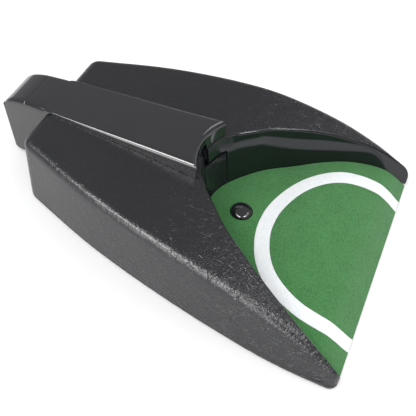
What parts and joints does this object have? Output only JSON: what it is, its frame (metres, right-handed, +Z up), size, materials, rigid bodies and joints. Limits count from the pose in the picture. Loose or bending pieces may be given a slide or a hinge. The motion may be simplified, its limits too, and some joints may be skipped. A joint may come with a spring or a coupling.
{
  "type": "automatic putting cup",
  "caption": "Motorised golf practice cup: a fan-shaped housing with a flocked ramp in its mouth, a trigger button that a putt ball presses, and a cam-swung kicker that knocks the ball back.",
  "frame": {"origin": "centre of the footprint's bounding box, on the floor under the feet", "axes": "+Y runs from the mouth to the tail, +Z is up, +X is to the right seen from the mouth"},
  "size_m": [0.2272, 0.3336, 0.0775],
  "materials": {
    "crinkle_plastic": "crinkled, satin",
    "gloss_black_plastic": "polished",
    "plain_black_plastic": "fine matt",
    "green_flock": "short flock",
    "white_flock": "short flock",
    "rubber": "matt",
    "steel": "bright",
    "brass": "plain",
    "white_nylon": "satin",
    "grey_plastic": "matt",
    "cell_wrap": "gloss wrap",
    "board_green": "lacquered"
  },
  "bodies": {
    "housing": {"base_plate": "plain_black_plastic", "base_screw_1": "steel", "base_screw_2": "steel", "base_screw_3": "steel", "base_screw_4": "steel", "base_screw_5": "steel", "base_screw_6": "steel", "base_screw_7": "steel", "base_screw_8": "steel", "battery_box": "plain_black_plastic", "bridge_cover": "gloss_black_plastic", "button_spring": "steel", "cell_1": "cell_wrap", "cell_2": "cell_wrap", "cell_3": "cell_wrap", "cell_4": "cell_wrap", "contact_left": "steel", "contact_right": "steel", "control_board": "board_green", "drive_plate_left": "grey_plastic", "drive_plate_right": "grey_plastic", "first_shaft": "steel", "foot_1": "rubber", "foot_2": "rubber", "foot_3": "rubber", "foot_4": "rubber", "frame_post_1": "grey_plastic", "frame_post_2": "grey_plastic", "kicker_pin": "steel", "kicker_spring": "steel", "motor_bracket": "grey_plastic", "motor_can": "steel", "motor_cap": "plain_black_plastic", "motor_screw_1": "steel", "motor_screw_2": "steel", "power_inlet": "plain_black_plastic", "power_switch_body": "plain_black_plastic", "ramp_plate": "plain_black_plastic", "second_shaft": "steel", "stop_post": "steel", "switch_body": "plain_black_plastic", "target_line": "white_flock", "top_shell": "crinkle_plastic", "turf": "green_flock"},
    "kicker": {"kicker": "gloss_black_plastic"},
    "cam_shaft": {"cam_shaft": "steel", "cam": "white_nylon", "cam_gear": "white_nylon"},
    "second_wheel": {"second_gear": "white_nylon"},
    "first_wheel": {"first_gear": "white_nylon"},
    "motor_rotor": {"motor_pinion": "brass"},
    "trigger": {"trigger_button": "gloss_black_plastic"},
    "switch_arm": {"switch_lever": "brass"},
    "door": {"battery_door": "plain_black_plastic"},
    "power_slider": {"power_switch_knob": "plain_black_plastic"}
  },
  "joints": [
    {"name": "kicker_swing", "type": "hinge", "parent": "housing", "child": "kicker", "pos_m": [0, 0.0012, 0.066], "axis": [-1, 0, 0], "range_deg": [0, 30], "stiffness_Nm_per_rad": 0.03, "springref_deg": -22.92},
    {"name": "cam_spin", "type": "hinge", "parent": "housing", "child": "cam_shaft", "pos_m": [0, 0.0232, 0.042], "axis": [1, 0, 0], "continuous": true},
    {"name": "second_wheel_spin", "type": "hinge", "parent": "housing", "child": "second_wheel", "pos_m": [0.0115, 0.0432, 0.042], "axis": [1, 0, 0], "continuous": true},
    {"name": "first_wheel_spin", "type": "hinge", "parent": "housing", "child": "first_wheel", "pos_m": [0.0155, 0.0632, 0.042], "axis": [1, 0, 0], "continuous": true},
    {"name": "motor_spin", "type": "hinge", "parent": "housing", "child": "motor_rotor", "pos_m": [0.0155, 0.0832, 0.042], "axis": [1, 0, 0], "continuous": true},
    {"name": "trigger_press", "type": "slide", "parent": "housing", "child": "trigger", "axis": [0, 0, -1], "range_m": [0, 0.0008], "stiffness_N_per_m": 300, "springref_m": -0.0004, "deforming": ["button_spring"]},
    {"name": "switch_lever_tilt", "type": "hinge", "parent": "housing", "child": "switch_arm", "pos_m": [0.02, -0.0466, 0.0047], "axis": [0, -1, 0], "range_deg": [0, 4.2]},
    {"name": "battery_door_hinge", "type": "hinge", "parent": "housing", "child": "door", "pos_m": [0, 0.1108, 0.0022], "axis": [1, 0, 0], "range_deg": [0, 80]},
    {"name": "power_switch_slide", "type": "slide", "parent": "housing", "child": "power_slider", "axis": [1, 0, 0], "range_m": [0, 0.0056]}
  ],
  "couplings": [
    {"joint": "first_wheel_spin", "follows": "motor_spin", "ratio": -0.25},
    {"joint": "second_wheel_spin", "follows": "motor_spin", "ratio": 0.0625},
    {"joint": "cam_spin", "follows": "motor_spin", "ratio": -0.015625},
    {"joint": "switch_lever_tilt", "follows": "trigger_press", "rad_per_m": 87}
  ]
}
